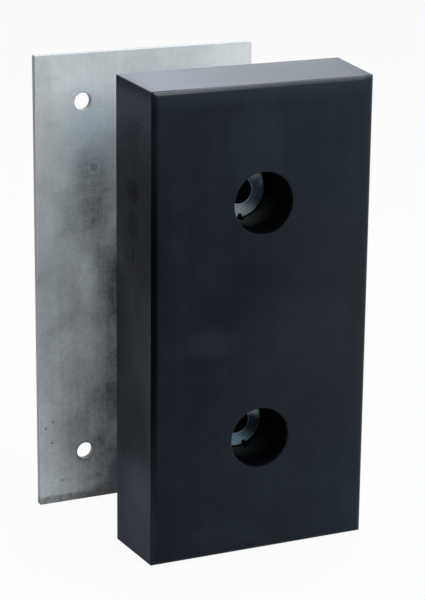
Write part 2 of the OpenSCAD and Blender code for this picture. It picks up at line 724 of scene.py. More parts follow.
    def stains(self, on: RubberField, smudge: Shade) -> Shade:
        """How pale a flank is: dusty high up, at the foot and in a low patch, dark along its rims.

        Args:
            on: The shared masks.
            smudge: Share of the dark smudges.

        Returns:
            The pale colour's share.
        """
        high, low = on.height.rise(0.40, 0.48), on.height.rise(0.14, 0.02)
        haze = on.graph.patch("YZ", self.low_haze, (on.drift - 0.5) * 1.2) * on.seen
        pale = on.drift.rise(0.32, 0.68) * 0.17 + 0.19 + high * 0.47 + low * 0.34 + haze
        rim = on.height.rise(0.484, 0.495).or_more(on.y.rise(-0.004, -0.001))
        mottled = on.fine * 0.06 + on.mottle * 0.06 - 0.01
        return pale * (1.0 - smudge) * (1.0 - rim * 0.65) + mottled

    def nicks(self, on: RubberField) -> Shade:
        """Small round nicks in the left flank, close to the front crease, and finer specks between.

        Args:
            on: The shared masks.

        Returns:
            The nicks' share.
        """
        near = on.y.rise(self.crease_y + 22 * MM, self.crease_y + 6 * MM)
        sparse = on.graph.noise(24.0, 2.0, 0.5).rise(0.50, 0.62) * on.z.rise(0.0, 0.10)
        specks = on.graph.specks(190.0, 0.30, 0.16) * sparse * near * 0.7
        nicks = specks.or_more(on.graph.dots("YZ", self.nick_places, 2.0 * MM, 0.9 * MM))
        return nicks * on.flank * on.seen * 0.85

    def gleam(self, on: RubberField) -> Shade:
        """Share of the buffed rubber: the top and the round before it, less a line along the crease.

        Args:
            on: The shared masks.

        Returns:
            The buffed rubber's share.
        """
        x, up = on.x, on.up
        crease = (on.y - self.crease_y).band(-1.3 * MM, -0.9 * MM, 0.1 * MM, 0.45 * MM)
        crease = crease * (x.rise(-0.05, -0.112) * 0.55 + 0.30)
        left_more, right_less = x.rise(0.04, -0.10) * 0.24, x.rise(0.106, 0.117) * 0.40
        gleam = up.rise(0.0, 0.78) * self.buffed
        gleam = gleam + up.band(0.02, 0.30, 0.84, 0.96) * (left_more - right_less)
        worn = on.graph.patch("XY", self.top_wear, on.clouds * 0.3) + x.rise(0.0, 0.11) * 0.035
        return gleam * on.height.rise(0.46, 0.49) * (1.0 - crease) * (1.0 - worn)


@dataclass(frozen=True)
class SeatFinish(Finish):
    """Turned steel, a little dulled, near black in the bore, with painted shade where the rubber meets
    it and painted light and shade across the ring.
    """

    name: str = "turned_seat_steel"
    steel: Colour = (0.40, 0.49, 0.53)
    cool_steel: Colour = (0.30, 0.50, 0.61)
    # Blue of a random smear and of the painted shade across the ring
    blued: Colour = (0.045, 0.082, 0.135)
    # Painted highlight: the bore's lip and the lower seat above the dark band
    bright: Colour = (0.88, 0.92, 0.94)
    # Near black: painted shade at the ring's outer edge, and the bore's wall
    grime: Colour = (0.006, 0.007, 0.009)
    pitch: float = 0.9 * MM
    outer_r: float = 28.96 * MM

    def shader(self, graph: Graph) -> Shade:
        """Turning lines follow the distance from the bolt's axis; a dark band of painted shade crosses
        the ring.

        Both seats share one formula. The lower one is cooler, its band is matt, and painted light lies
        above the band.

        Args:
            graph: The material's graph.

        Returns:
            Turned steel mixed with soot.
        """
        x, rise, reach = graph.axis("X"), bolt_rise(graph), bolt_reach(graph)
        lower = graph.axis("Z").rise(0.02, -0.02)
        lines = (reach * (2 * math.pi / self.pitch)).sine() * 0.5 + 0.5
        smear = graph.noise(70.0, 3.0, 0.6, 0.5).rise(0.35, 0.75)
        specks = graph.noise(620.0, 2.0, 0.6).rise(0.42, 0.64)
        # Painted shade: a slanted band across the ring where the counterbore's upper wall keeps the lamp
        # off, with painted light at the ring's upper right and, on the lower seat, above the band
        slant = x * 0.25 + rise * 0.95 + (smear - 0.5) * 0.004
        lit_tip = x.rise(0.019, 0.026) * rise.rise(0.001, 0.008)
        clear = slant.rise(0.005, 0.015) * lower
        shaded_band = slant.band(-0.0215, -0.005, 0.0115, 0.0195) * (1.0 - lit_tip * 0.85) * (1.0 - clear)
        # Painted shade in the corner where the rubber meets the ring's outer edge, more of it low; the
        # bore's wall is near black and matt too
        rim = reach.rise(self.outer_r - 1.7 * MM, self.outer_r - 0.6 * MM)
        rim = rim * (rise.rise(0.016, 0.006) * 0.75 + 0.25)
        bore = reach.rise(BOLTS.radius + 0.25 * MM, BOLTS.radius + 0.05 * MM)
        # Painted highlight along the bore's chamfered lip
        lip_highlight = reach.rise(BOLTS.radius + 0.9 * MM, BOLTS.radius + 0.5 * MM) * (1.0 - bore)
        rim_shade_and_bore = rim.or_more(bore)
        colour = graph.layered(
            self.steel,
            (lower, self.cool_steel),
            ((smear * 0.2).or_more(shaded_band * 0.92) + specks * 0.22 - 0.10, self.blued),
            ((lip_highlight * 0.9).or_more(clear * 0.55), self.bright),
            (rim_shade_and_bore, self.grime),
        )
        turned = {
            "Base Color": colour,
            "Roughness": smear * 0.10 + lines * 0.05 + rim_shade_and_bore * 0.2 + 0.42,
            "Metallic": 0.60 - rim_shade_and_bore * 0.55,
            "Normal": graph.bump(lines, 0.02 * MM, 0.4),
        }
        matt_dark = {"Base Color": self.grime, "Roughness": 1.0, "Specular IOR Level": 0.0}
        share = rim_shade_and_bore.or_more(shaded_band * lower * 0.62)
        return graph.mixed(share, graph.principled(turned), graph.principled(matt_dark))


@dataclass(frozen=True)
class PlateFinish(Finish):
    """Galvanised sheet: smoky clouds, mottled patina, upright streaks, a few pits, a worn lower edge,
    painted shade of the block and painted light high up.
    """

    name: str = "zinc_plate_steel"
    zinc: Colour = (0.74, 0.79, 0.81)
    cool_zinc: Colour = (0.62, 0.74, 0.83)
    # Dark of the smoke and of the block's painted shade
    smoke: Colour = (0.068, 0.089, 0.100)
    edge: Colour = (0.42, 0.41, 0.39)
    wear: Colour = (0.13, 0.115, 0.10)
    pit: Colour = (0.07, 0.068, 0.065)
    cool_patch: Patch = Patch((-0.102, 0.168), (0.036, 0.060), 0.6)
    handled: Patch = Patch((-0.101, 0.105), (0.035, 0.052), 0.30)
    ruled: Patch = Patch((-0.116, 0.105), (0.045, 0.070), 0.13)
    haze: Patch = Patch((-0.145, -0.060), (0.060, 0.080), 0.13)
    ring_mark: Spot = (-0.1008, 0.1262)
    spots: tuple[Patch, ...] = (
        Patch((-0.098, 0.046), (0.026, 0.032), 0.12),
        Patch((-0.094, -0.182), (0.006, 0.015), 0.13),
        Patch((-0.147, 0.222), (0.012, 0.009), 0.08),
        Patch((-0.148, 0.175), (0.014, 0.006), 0.08),
        Patch((-0.080, 0.030), (0.020, 0.028), -0.24),
        Patch((-0.090, -0.026), (0.022, 0.036), 0.14),
        Patch((-0.074, -0.150), (0.024, 0.050), -0.15),
    )
    dents: tuple[Spot, ...] = (
        (-0.1506, -0.1551),
        (-0.1589, -0.1620),
        (-0.1521, -0.1793),
        (-0.1408, -0.2244),
    )

    def shader(self, graph: Graph) -> Shade:
        """Smoke and painted shade darken and dull the zinc; the cut edges are bare, and the lowest 7 to
        10 mm are worn.

        Args:
            graph: The material's graph.

        Returns:
            The shader.
        """
        x, height, facing = graph.axis("X"), graph.axis("Z") - FLOOR_Z, graph.facing("Y")
        drift = graph.noise(10.0, 2.0, 0.5, 0.6) - 0.5
        fine = graph.noise(260.0, 3.0, 0.65).rise(0.36, 0.70)
        front = facing.rise(0.3, -0.3)
        # Painted shade of the block on the front face, plus soft patches and marks
        shade_and_marks = self.stain(x + drift * 0.05, height) + self.smudges(graph, drift)
        smoke = self.clouding(graph, x, height, fine) + shade_and_marks * front
        steep = graph.scratches(600.0, 22.0, (0, 24, 0), 0.69, 1.0)
        lines = steep.or_more(graph.scratches(600.0, 26.0, (0, -58, 0), 0.69, 5.0))
        ragged = height + (graph.noise(90.0, 4.0, 0.7) - 0.5) * 0.012
        worn = ragged.rise(0.010, 0.007) * (fine * 0.4 + 0.45)
        cut = abs(facing).rise(0.75, 0.45)
        grimy = height.rise(0.30, 0.15) * 0.60 + 0.25
        collar = self.anchor_reach(graph).rise(11.3 * MM, 10.0 * MM) * (1.0 - cut * 0.5) * grimy
        pits = self.pits(graph, height).or_more(collar)
        colour = graph.layered(
            self.zinc,
            (graph.patch("XZ", self.cool_patch, drift * 2.0), self.cool_zinc),
            (smoke * 0.88, self.smoke),
            (lines * 0.35, self.zinc),
            (cut * 0.85, self.edge),
            (worn * 0.8, self.wear),
            (pits, self.pit),
        )
        brushed = graph.drawn((900.0, 900.0, 60.0), 2.0, 0.6)
        sockets = {
            "Base Color": colour,
            "Roughness": smoke * 0.14 + worn * 0.2 + cut * 0.2 + 0.50 - lines * 0.08,
            "Metallic": (0.16 - worn * 0.15 - pits * 0.15) * (1.0 - cut),
            "Normal": graph.bump(brushed, 0.03 * MM, 0.5),
        }
        return graph.principled(sockets)

    def anchor_reach(self, graph: Graph) -> Shade:
        """Distance from the nearest anchor hole's axis."""
        across = abs(graph.axis("X") - ANCHORS.x) - ANCHORS.side
        return across.hypot(abs(graph.axis("Z") - ANCHORS.z) - ANCHORS.level)

    def clouding(self, graph: Graph, x: Shade, height: Shade, fine: Shade) -> Shade:
        """Smoke all over the sheet: clouds, puffs, mottle and streaks, thinner towards the top as
        painted light.

        Args:
            graph: The material's graph.
            x: Place across the sheet.
            height: Height above the floor.
            fine: Fine noise.

        Returns:
            The smoke, thinned by painted light high up.
        """
        clouds = graph.noise(11.0, 2.0, 0.5, 0.8).rise(0.36, 0.68)
        mottle = graph.noise(45.0, 5.0, 0.66, 0.4).rise(0.40, 0.70)
        puffs = graph.noise(30.0, 1.0, 0.4, 0.5).rise(0.32, 0.68)
        streaks = graph.drawn((130.0, 130.0, 7.0), 3.0, 0.6).rise(0.40, 0.75)
        smoke = clouds * 0.24 + mottle * 0.05 + streaks * 0.10 + fine * 0.13 + puffs * 0.14
        # Painted light: the smoke thins towards the top, and a lighter band lies high on the sheet
        thinned = smoke * (height.rise(0.50, 0.25) * 0.45 + 0.55)
        top_left, top_right = x.rise(-0.03, -0.12) * 0.12, x.rise(0.0, 0.06) * 0.09
        top = height.rise(0.43, 0.46) * (top_left - top_right)
        return thinned + top - height.band(0.27, 0.35, 0.39, 0.46) * 0.12

    def stain(self, edge: Shade, height: Shade) -> Shade:
        """Painted shade of the block on the sheet, darker towards the block.

        A long slope is deepest low and high on the sheet. Nearer the block there are a short slope, and
        bands at mid height, at the foot and, narrower, high up. The left edge differs a little too.

        Args:
            edge: Place across the sheet, frayed.
            height: Height above the floor.

        Returns:
            What is added to the smoke and shade.
        """
        low, foot = height.rise(0.20, 0.12), height.rise(0.085, 0.050)
        middle = height.band(0.18, 0.23, 0.275, 0.31)
        high, upper = height.band(0.28, 0.33, 0.37, 0.42), height.band(0.31, 0.36, 0.39, 0.43)
        slope = edge.rise(-0.154, -0.106) * (low * 0.22 + high * 0.16 + 0.12)
        near = edge.rise(-0.112, -0.070) * (low * 0.08 + 0.42) * height.rise(0.36, 0.27)
        near = near + edge.rise(-0.116, -0.088) * middle * 0.34
        near = near + edge.rise(-0.150, -0.110) * foot * 0.24
        near = near + edge.rise(-0.080, -0.069) * upper * 0.16
        fade = edge.rise(0.01, -0.06) * 0.75 + 0.25
        left = edge.rise(-0.148, -0.163) * (0.08 - low * 0.16)
        return (slope * height.rise(0.43, 0.38) + near) * fade + left

    def smudges(self, graph: Graph, drift: Shade) -> Shade:
        """Frayed patches, some of them lighter, fine level lines and a faint round mark.

        Args:
            graph: The material's graph.
            drift: Soft noise about 0 that frays the patches.

        Returns:
            What is added to the smoke and shade.
        """
        patches = graph.patch("XZ", self.handled, drift * 2.4)
        patches = sum((graph.patch("XZ", spot, drift * 1.6) for spot in self.spots), patches)
        patches = patches + graph.patch("XZ", self.haze, drift * 0.96)
        level = graph.drawn((60.0, 60.0, 900.0), 2.0, 0.6).rise(0.42, 0.68)
        rules = level * graph.patch("XZ", self.ruled, drift * 2.4)
        reach = graph.reach("XZ", self.ring_mark)
        core = reach.rise(5.0 * MM, 2.5 * MM)
        ring = reach.band(5.0 * MM, 5.8 * MM, 6.6 * MM, 7.8 * MM)
        return patches + rules + core * 0.16 - ring * 0.13

    def pits(self, graph: Graph, height: Shade) -> Shade:
        """A few small round pits: four dents in the lower left of the sheet, and finer specks low down.

        Args:
            graph: The material's graph.
            height: Height above the floor.

        Returns:
            The pits' share.
        """
        sparse = graph.noise(21.0, 1.0, 0.5).rise(0.56, 0.64) * height.band(0.015, 0.030, 0.10, 0.20)
        specks = graph.specks(150.0, 0.16, 0.10) * sparse * 0.7
        return specks.or_more(graph.dots("XZ", self.dents, 1.8 * MM, 0.8 * MM) * 0.7)


@dataclass(frozen=True)
class FloorFinish(Finish):
    """Pale studio floor that reads white and keeps the object's shadow."""

    name: str = "pale_floor"
    pale: Colour = (0.62, 0.62, 0.62)
    white_share: float = 0.95

    def shader(self, graph: Graph) -> Shade:
        """Seen by eye or in a reflection, most of the floor is white; the rest takes light and shadow.

        Args:
            graph: The material's graph.

        Returns:
            Matt floor mixed with plain white.
        """
        matt = graph.add("ShaderNodeBsdfDiffuse", sockets={"Color": self.pale})
        white = graph.add("ShaderNodeEmission", sockets={"Color": WHITE, "Strength": 1.0})
        return graph.mixed(seen_ray(graph) * self.white_share, matt, white)


# Surfaces


def linked(name: str, data: bpy.types.ID) -> bpy.types.Object:
    """Makes an object and puts it in the scene.

    Args:
        name: The object's name.
        data: Its mesh, lamp or camera.

    Returns:
        The object.
    """
    made = bpy.data.objects.new(name, data)
    bpy.context.scene.collection.objects.link(made)
    return made


class Skin:
    """A closed skin put together from grids of points that share their borders."""

    def __init__(self) -> None:
        """Starts with no grids."""
        self._points: list[Array] = []
        self._quads: list[Array] = []
        self._count = 0

    def add_ring(self, grid: Array) -> None:
        """Adds a grid as a sheet of quads that closes round on itself.

        Point (i, j) is joined with (i + 1, j), (i + 1, j + 1) and (i, j + 1), and the last column with
        the first.

        Args:
            grid: Points of shape (rows, columns, 3).
        """
        rows, columns = grid.shape[:2]
        index = np.arange(rows * columns).reshape(rows, columns) + self._count
        index = np.concatenate([index, index[:, :1]], axis=1)
        corners = [index[:-1, :-1], index[1:, :-1], index[1:, 1:], index[:-1, 1:]]
        self._points.append(grid.reshape(-1, 3))
        self._quads.append(np.stack(corners, axis=-1).reshape(-1, 4))
        self._count += rows * columns

    def reshape(self, change: Callable[[Array], Array]) -> None:
        """Moves the points of all grids by one formula."""
        self._points = [change(points) for points in self._points]

    def piece(self, name: str, crease: float) -> bpy.types.Object:
        """Joins the borders, turns the faces outwards and makes the object.

        Args:
            name: The object's name.
            crease: Angle past which an edge stays sharp.

        Returns:
            The object, at the origin.
        """
        points = np.concatenate(self._points)
        quads = np.concatenate(self._quads)
        keys = np.round(points / WELD).astype(np.int64)
        _, first, again = np.unique(keys, axis=0, return_index=True, return_inverse=True)
        mesh = bpy.data.meshes.new(name)
        mesh.from_pydata(points[first], [], again.reshape(-1)[quads])
        work = bmesh.new()
        work.from_mesh(mesh)
        bmesh.ops.recalc_face_normals(work, faces=work.faces)
        work.to_mesh(mesh)
        work.free()
        mesh.shade_smooth()
        mesh.set_sharp_from_angle(angle=crease)
        return linked(name, mesh)


def marks(half: float, step: float, near: Array, stops: set[float]) -> Array:
    """Places along an edge that runs from -1 to 1.

    Even steps between the stops, with closer places towards both ends of the edge.

    Args:
        half: Half the edge's length.
        step: Length of an even step.
        near: Distances from an end that get a place of their own.
        stops: Places that are always in the list, with both ends among them.

    Returns:
        The places, in rising order.
    """
    fixed = np.array(sorted(stops))
    counts = [max(2, round(run * half / step)) + 1 for run in np.diff(fixed)]
    even = np.concatenate([np.linspace(*run) for run in zip(fixed, fixed[1:], counts)])
    inner = even[np.abs(even) * half < half - near.max() * CORNER_CLEAR]
    ends = 1.0 - near / half
    return np.unique(np.round(np.concatenate([inner, ends, -ends, fixed]), DECIMALS))


def loop(across: Array, up: Array) -> Array:
    """Points once round a rectangle, anticlockwise from its lower left corner.

    Args:
        across: Rising places along the lower and upper edges.
        up: Rising places along the upright edges.

    Returns:
        Points of shape (count, 2), the first not repeated.
    """
    low, high, left, right = up[0], up[-1], across[0], across[-1]
    sides = [
        np.stack([across[:-1], np.full(len(across) - 1, low)], axis=-1),
        np.stack([np.full(len(up) - 1, right), up[:-1]], axis=-1),
        np.stack([across[:0:-1], np.full(len(across) - 1, high)], axis=-1),
        np.stack([np.full(len(up) - 1, left), up[:0:-1]], axis=-1),
    ]
    return np.concatenate(sides)


def rounded(points: Array, half: Array, radius: float) -> Array:
    """Rounds the four corners of a rectangle about the origin.

    What reaches past a corner's centre is shortened by its longer side over its length, which lays the
    square corner on a quarter circle.

    Args:
        points: Points of shape (..., 2) on or inside the rectangle.
        half: Half sizes of the rectangle, which may differ along the leading axes.
        radius: Radius of the corners.

    Returns:
        The moved points.
    """
    size = np.abs(points)
    core = half - radius
    past = np.maximum(size - core, 0.0)
    length = np.linalg.norm(past, axis=-1, keepdims=True)
    share = np.divide(past.max(-1, keepdims=True), length, out=np.ones_like(length), where=length > 0)
    return np.sign(points) * (np.minimum(size, core) + past * share)


def towards(angle: Array) -> Array:
    """Unit steps of shape (..., 2) in the given directions, in radians."""
    return np.stack([np.cos(angle), np.sin(angle)], axis=-1)


def upright(points: Array, depth: Array | float) -> Array:
    """Stands flat points of shape (..., 2) up in X and Z at a place along Y."""
    spread = np.broadcast_to(depth, points.shape[:-1])
    return np.stack([points[..., 0], spread, points[..., 1]], axis=-1)


@dataclass(frozen=True)
class Cell:
    """A rectangular field of a flat face with one round hole; its borders run from -1 to 1."""

    left: float
    right: float
    low: float
    high: float
    hole: Spot
    radius: float


@dataclass
class BoredSlab:
    """An upright slab with bored faces: the flat faces, the flanks between them and the bores' walls.

    The cells set the borders of the fields, which are the same on both faces.
    """

    middle: Spot
    half: Spot
    corner_r: float
    step: float
    cells: list[Cell]
    skin: Skin = field(default_factory=Skin)

    def __post_init__(self) -> None:
        """Finds the places along the faces' edges that the fields' borders and the flanks share."""
        near = self.corner_r * CORNER_MARKS
        across = {stop for cell in self.cells for stop in (cell.left, cell.right)}
        up = {stop for cell in self.cells for stop in (cell.low, cell.high)}
        self.across = marks(self.half[0], self.step, near, across)
        self.up = marks(self.half[1], self.step, near, up)

    def flanks(self, inset: Array, depth: Array) -> None:
        """Carries a profile round the outline.

        Args:
            inset: How far each step of the profile lies inside the largest outline.
            depth: Each step's place along Y.
        """
        half = np.array(self.half) - inset[:, None, None]
        outline = rounded(loop(self.across, self.up) * half, half, self.corner_r)
        self.skin.add_ring(upright(outline + np.array(self.middle), depth[:, None]))

    def border(self, cell: Cell, inset: float) -> tuple[Array, Array]:
        """Finds a field's border.

        Args:
            cell: The field.
            inset: How far the face's outline lies inside the largest.

        Returns:
            The border's points, and their directions from the hole's middle.
        """
        spans = (self.across, cell.left, cell.right), (self.up, cell.low, cell.high)
        across, up = (
            places[(places >= low - SLACK) & (places <= high + SLACK)] for places, low, high in spans
        )
        half = np.array(self.half) - inset
        border = rounded(loop(across, up) * half, half, self.corner_r) + np.array(self.middle)
        away = border - np.array(cell.hole)
        return border, np.arctan2(away[:, 1], away[:, 0])

    def face(self, cells: list[Cell], inset: float, depth: float, shares: tuple[float, ...]) -> None:
        """A flat face with holes: in each field, straight lines run from the hole's rim to the border.

        Args:
            cells: The fields, with the holes' radii at this face.
            inset: How far the face's outline lies inside the largest.
            depth: The face's place along Y.
            shares: Where along those lines the rings of points lie, from 0 to 1.
        """
        for cell in cells:
            border, angle = self.border(cell, inset)
            rim = np.array(cell.hole) + cell.radius * towards(angle)
            rings = rim + np.array(shares)[:, None, None] * (border - rim)
            self.skin.add_ring(upright(rings, depth))

    def bore(self, hole: Spot, radii: Array, depths: Array, ring: Array) -> None:
        """A bore's wall: a profile of radii and places along Y turned about the hole's axis.

        Args:
            hole: The hole's middle.
            radii: Radii of shape (steps, 1) or (steps, directions).
            depths: Places along Y, one a step.
            ring: Directions of the wall's points in radians, for all steps or one row a step.
        """
        wall = np.array(hole) + radii[..., None] * towards(ring)
        self.skin.add_ring(upright(wall, depths[:, None]))


# Sub-assemblies


def dress(piece: bpy.types.Object, finish: Finish, node: Node) -> bpy.types.Object:
    """Gives a new piece its finish and sets it in the place of a node.

    Args:
        piece: The new piece.
        finish: Its finish.
        node: The node that it stands for.

    Returns:
        The piece.
    """
    piece.data.materials.append(finish.material())
    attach(piece, BODY)
    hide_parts(node.value)
    LOG.info("%s stands for %s, %d faces", piece.name, node.value, len(piece.data.polygons))
    return piece


@dataclass
class RubberBlock:
    """The moulded block: drafted flanks, a front round that ends in a crease, and two counterbores.

    The underside is let down to its own draft below let_down_z, over a height of let_down_run.
    """

    draft: float = math.radians(2.4)
    foot_draft: float = math.radians(1.0)
    pocket_draft: float = math.radians(3.0)
    edge_r: float = 6 * MM
    edge_turn: float = math.radians(60)
    corner_r: float = 0.9 * MM
    back_r: float = 0.8 * MM
    mouth_r: float = 1 * MM
    notch_r: float = 2.75 * MM
    notch_end: float = 2 * MM
    notch_rise: float = 8 * MM
    notch_angles: tuple[float, float] = (math.radians(-88), math.radians(-70))
    let_down_z: float = -165 * MM
    let_down_run: float = 70 * MM
    step: float = 3.2 * MM
    arc_points: int = 9
    bend_points: int = 6
    wall_points: int = 12
    notch_points: int = 5
    notch_steps: tuple[float, float, float] = (0.25 * MM, 0.9 * MM, 1.8 * MM)
    flank_shares: tuple[float, ...] = (
        0.004, 0.015, 0.05, 0.12, 0.25, 0.4, 0.55, 0.7, 0.82, 0.92, 0.97, 1.0,
    )
    face_shares: tuple[float, ...] = (
        0.0, 0.01, 0.03, 0.07, 0.14, 0.24, 0.36, 0.5, 0.64, 0.76, 0.86, 0.93, 0.97, 0.99, 1.0,
    )
    sharp: float = math.radians(24)
    finish: RubberFinish = field(default_factory=RubberFinish)

    def __post_init__(self) -> None:
        """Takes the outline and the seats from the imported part."""
        low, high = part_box(Node.BLOCK.value)
        seat_low, seat_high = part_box(Node.UPPER_SEAT.value)
        self.half = (high.x - low.x) / 2, (high.z - low.z) / 2
        self.front_y = low.y
        self.seat_front_y = seat_low.y
        self.seat_back_y = seat_high.y
        self.seat_r = (seat_high.x - seat_low.x) / 2
        self.notch_y = self.seat_front_y - self.notch_rise

    def cells(self, radius: float) -> list[Cell]:
        """The upper and the lower half of a face, each with a hole of the given radius."""
        return [
            Cell(-1.0, 1.0, 0.0, 1.0, (0.0, BOLTS.level), radius),
            Cell(-1.0, 1.0, -1.0, 0.0, (0.0, -BOLTS.level), radius),
        ]

    def flank_profile(self) -> tuple[Array, Array]:
        """The section of a flank, from the impact face's rim to the back face's rim.

        The front is an arc that leaves the impact face as its tangent and stops at the crease; the flank
        runs straight back along the draft; a small quarter round leads into the back face.

        Returns:
            Insets, and places along Y.
        """
        turn = np.linspace(0.0, self.edge_turn, self.arc_points)
        arc_y = self.front_y + self.edge_r * (1 - np.cos(turn))
        crease_inset = -arc_y[-1] * math.tan(self.draft)
        arc_in = crease_inset + self.edge_r * (math.sin(self.edge_turn) - np.sin(turn))
        flank_y = arc_y[-1] + np.array(self.flank_shares) * (-self.back_r - arc_y[-1])
        flank_in = -flank_y * math.tan(self.draft)
        bend = np.linspace(0.0, QUARTER, self.bend_points)[1:]
        back_y = self.back_r * (np.sin(bend) - 1)
        back_in = flank_in[-1] + self.back_r * (1 - np.cos(bend))
        return np.concatenate([arc_in, flank_in, back_in]), np.concatenate([arc_y, flank_y, back_y])

    def pocket_radius(self, depth: Array | float) -> Array | float:
        """Radius of a counterbore's wall at a place along Y: it narrows by the draft from the front."""
        return POCKET_R - (depth - self.front_y) * math.tan(self.pocket_draft)

    def wall_profile(self) -> tuple[Array, Array]:
        """The section of a bore: down a counterbore, round the seat and out through the bolt hole.

        The mouth is a quarter round into a wall that narrows by the draft. At its foot the profile steps
        out over the steel seat, down behind it and in to the bolt hole.

        Returns:
            Radii, and places along Y.
        """
        bend = np.linspace(0.0, QUARTER, self.bend_points)
        mouth_y = self.front_y + self.mouth_r * (1 - np.cos(bend))
        mouth_radius = self.pocket_radius(mouth_y[-1]) + self.mouth_r * (1 - np.sin(bend))
        *first, last = self.notch_steps
        wall_y = np.concatenate(
            [
                np.linspace(mouth_y[-1], self.notch_y, self.wall_points)[1:],
                self.notch_y + np.array(first),
                np.linspace(self.notch_y + last, self.seat_front_y, self.notch_points),
            ]
        )
        behind_r = (self.seat_r + self.pocket_radius(self.seat_front_y)) / 2
        seat = np.array(
            [
                [self.seat_r, self.seat_front_y],
                [self.seat_r, self.seat_back_y],
                [behind_r, self.seat_back_y],
                [BOLTS.radius, self.seat_back_y],
                [BOLTS.radius, self.seat_back_y / 2],
                [BOLTS.radius, 0.0],
            ]
        )
        radii = np.concatenate([mouth_radius, self.pocket_radius(wall_y), seat[:, 0]])
        return radii, np.concatenate([mouth_y, wall_y, seat[:, 1]])

    def let_down(self, points: Array) -> Array:
        """Lets the underside down from the common draft to its own.

        The drop is -y * (tan(draft) - tan(foot draft)). It is full at the underside and fades out, as a
        smooth step of the height, below the lower counterbore.

        Args:
            points: Points of shape (count, 3).

        Returns:
            The moved points.
        """
        share = np.clip((self.let_down_z - points[:, 2]) / self.let_down_run, 0.0, 1.0)
        slope = math.tan(self.draft) - math.tan(self.foot_draft)
        drop = -points[:, 1] * slope * share**2 * (3 - 2 * share)
        return points - drop[:, None] * np.array([0.0, 0.0, 1.0])

    def notched(self, radii: Array, depths: Array, ring: Array, angle: float) -> Array:
        """Pushes the foot of a counterbore's wall out to the locating notch.

        In a direction that leaves the notch's own by d, the round end about e lies at
        e * cos(d) + sqrt(r^2 - (e * sin(d))^2) from the bolt's axis, and the straight side at
        r / sin(d).

        Args:
            radii: The wall's radii, one a step.
            depths: Places along Y, one a step.
            ring: Directions of the wall's points.
            angle: The notch's direction.

        Returns:
            Radii of shape (steps, directions).
        """
        foot = self.pocket_radius(self.seat_front_y)
        end = foot + self.notch_end
        off = np.angle(np.exp(1j * (ring - angle)))
        across = np.abs(np.sin(off))
        inside = self.notch_r**2 - (end * across) ** 2
        cap = end * np.cos(off) + np.sqrt(np.maximum(inside, 0.0))
        side = self.notch_r / np.maximum(across, SLACK)
        hit = (foot * across < self.notch_r) & (np.abs(off) < QUARTER)
        far = np.where(hit, np.where(inside > 0, cap, side), 0.0)
        rows = (depths > self.notch_y + WELD) & (depths <= self.seat_front_y + SLACK)
        rows &= radii < self.seat_r - WELD
        return np.where(rows[:, None], np.maximum(radii[:, None], far[None]), radii[:, None])

    def build(self) -> bpy.types.Object:
        """Builds the block's skin and dresses it.

        Returns:
            The finished piece.
        """
        inset, depth = self.flank_profile()
        radii, depths = self.wall_profile()
        front, back = self.cells(radii[0]), self.cells(radii[-1])
        slab = BoredSlab((0.0, 0.0), self.half, self.corner_r, self.step, front)
        slab.face(front, inset[0], depth[0], self.face_shares)
        slab.flanks(inset, depth)
        slab.face(back, inset[-1], depth[-1], self.face_shares)
        for cell, angle in zip(front, self.notch_angles):
            (_, ring), (_, back_ring) = (slab.border(cell, rim) for rim in (inset[0], inset[-1]))
            wall = self.notched(radii[:-1], depths[:-1], ring, angle)
            slab.bore(cell.hole, wall, depths[:-1], ring)
            # The last step turns from the front face's directions to the back face's
            slab.bore(cell.hole, radii[-2:, None], depths[-2:], np.stack([ring, back_ring]))
        slab.skin.reshape(self.let_down)
        piece = slab.skin.piece("moulded_block", self.sharp)
        return dress(piece, self.finish, Node.BLOCK)


@dataclass
class BoltSeats:
    """The two turned steel rings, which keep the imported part's own shape."""

    finish: SeatFinish = field(default_factory=SeatFinish)

    def dress(self) -> None:
        """Puts the turned steel on both rings."""
        for node in (Node.UPPER_SEAT, Node.LOWER_SEAT):
            ring = frame["nodes"][node.value]
            ring.data.materials.clear()
            ring.data.materials.append(self.finish.material())
            LOG.info("%s keeps its own shape", node.value)


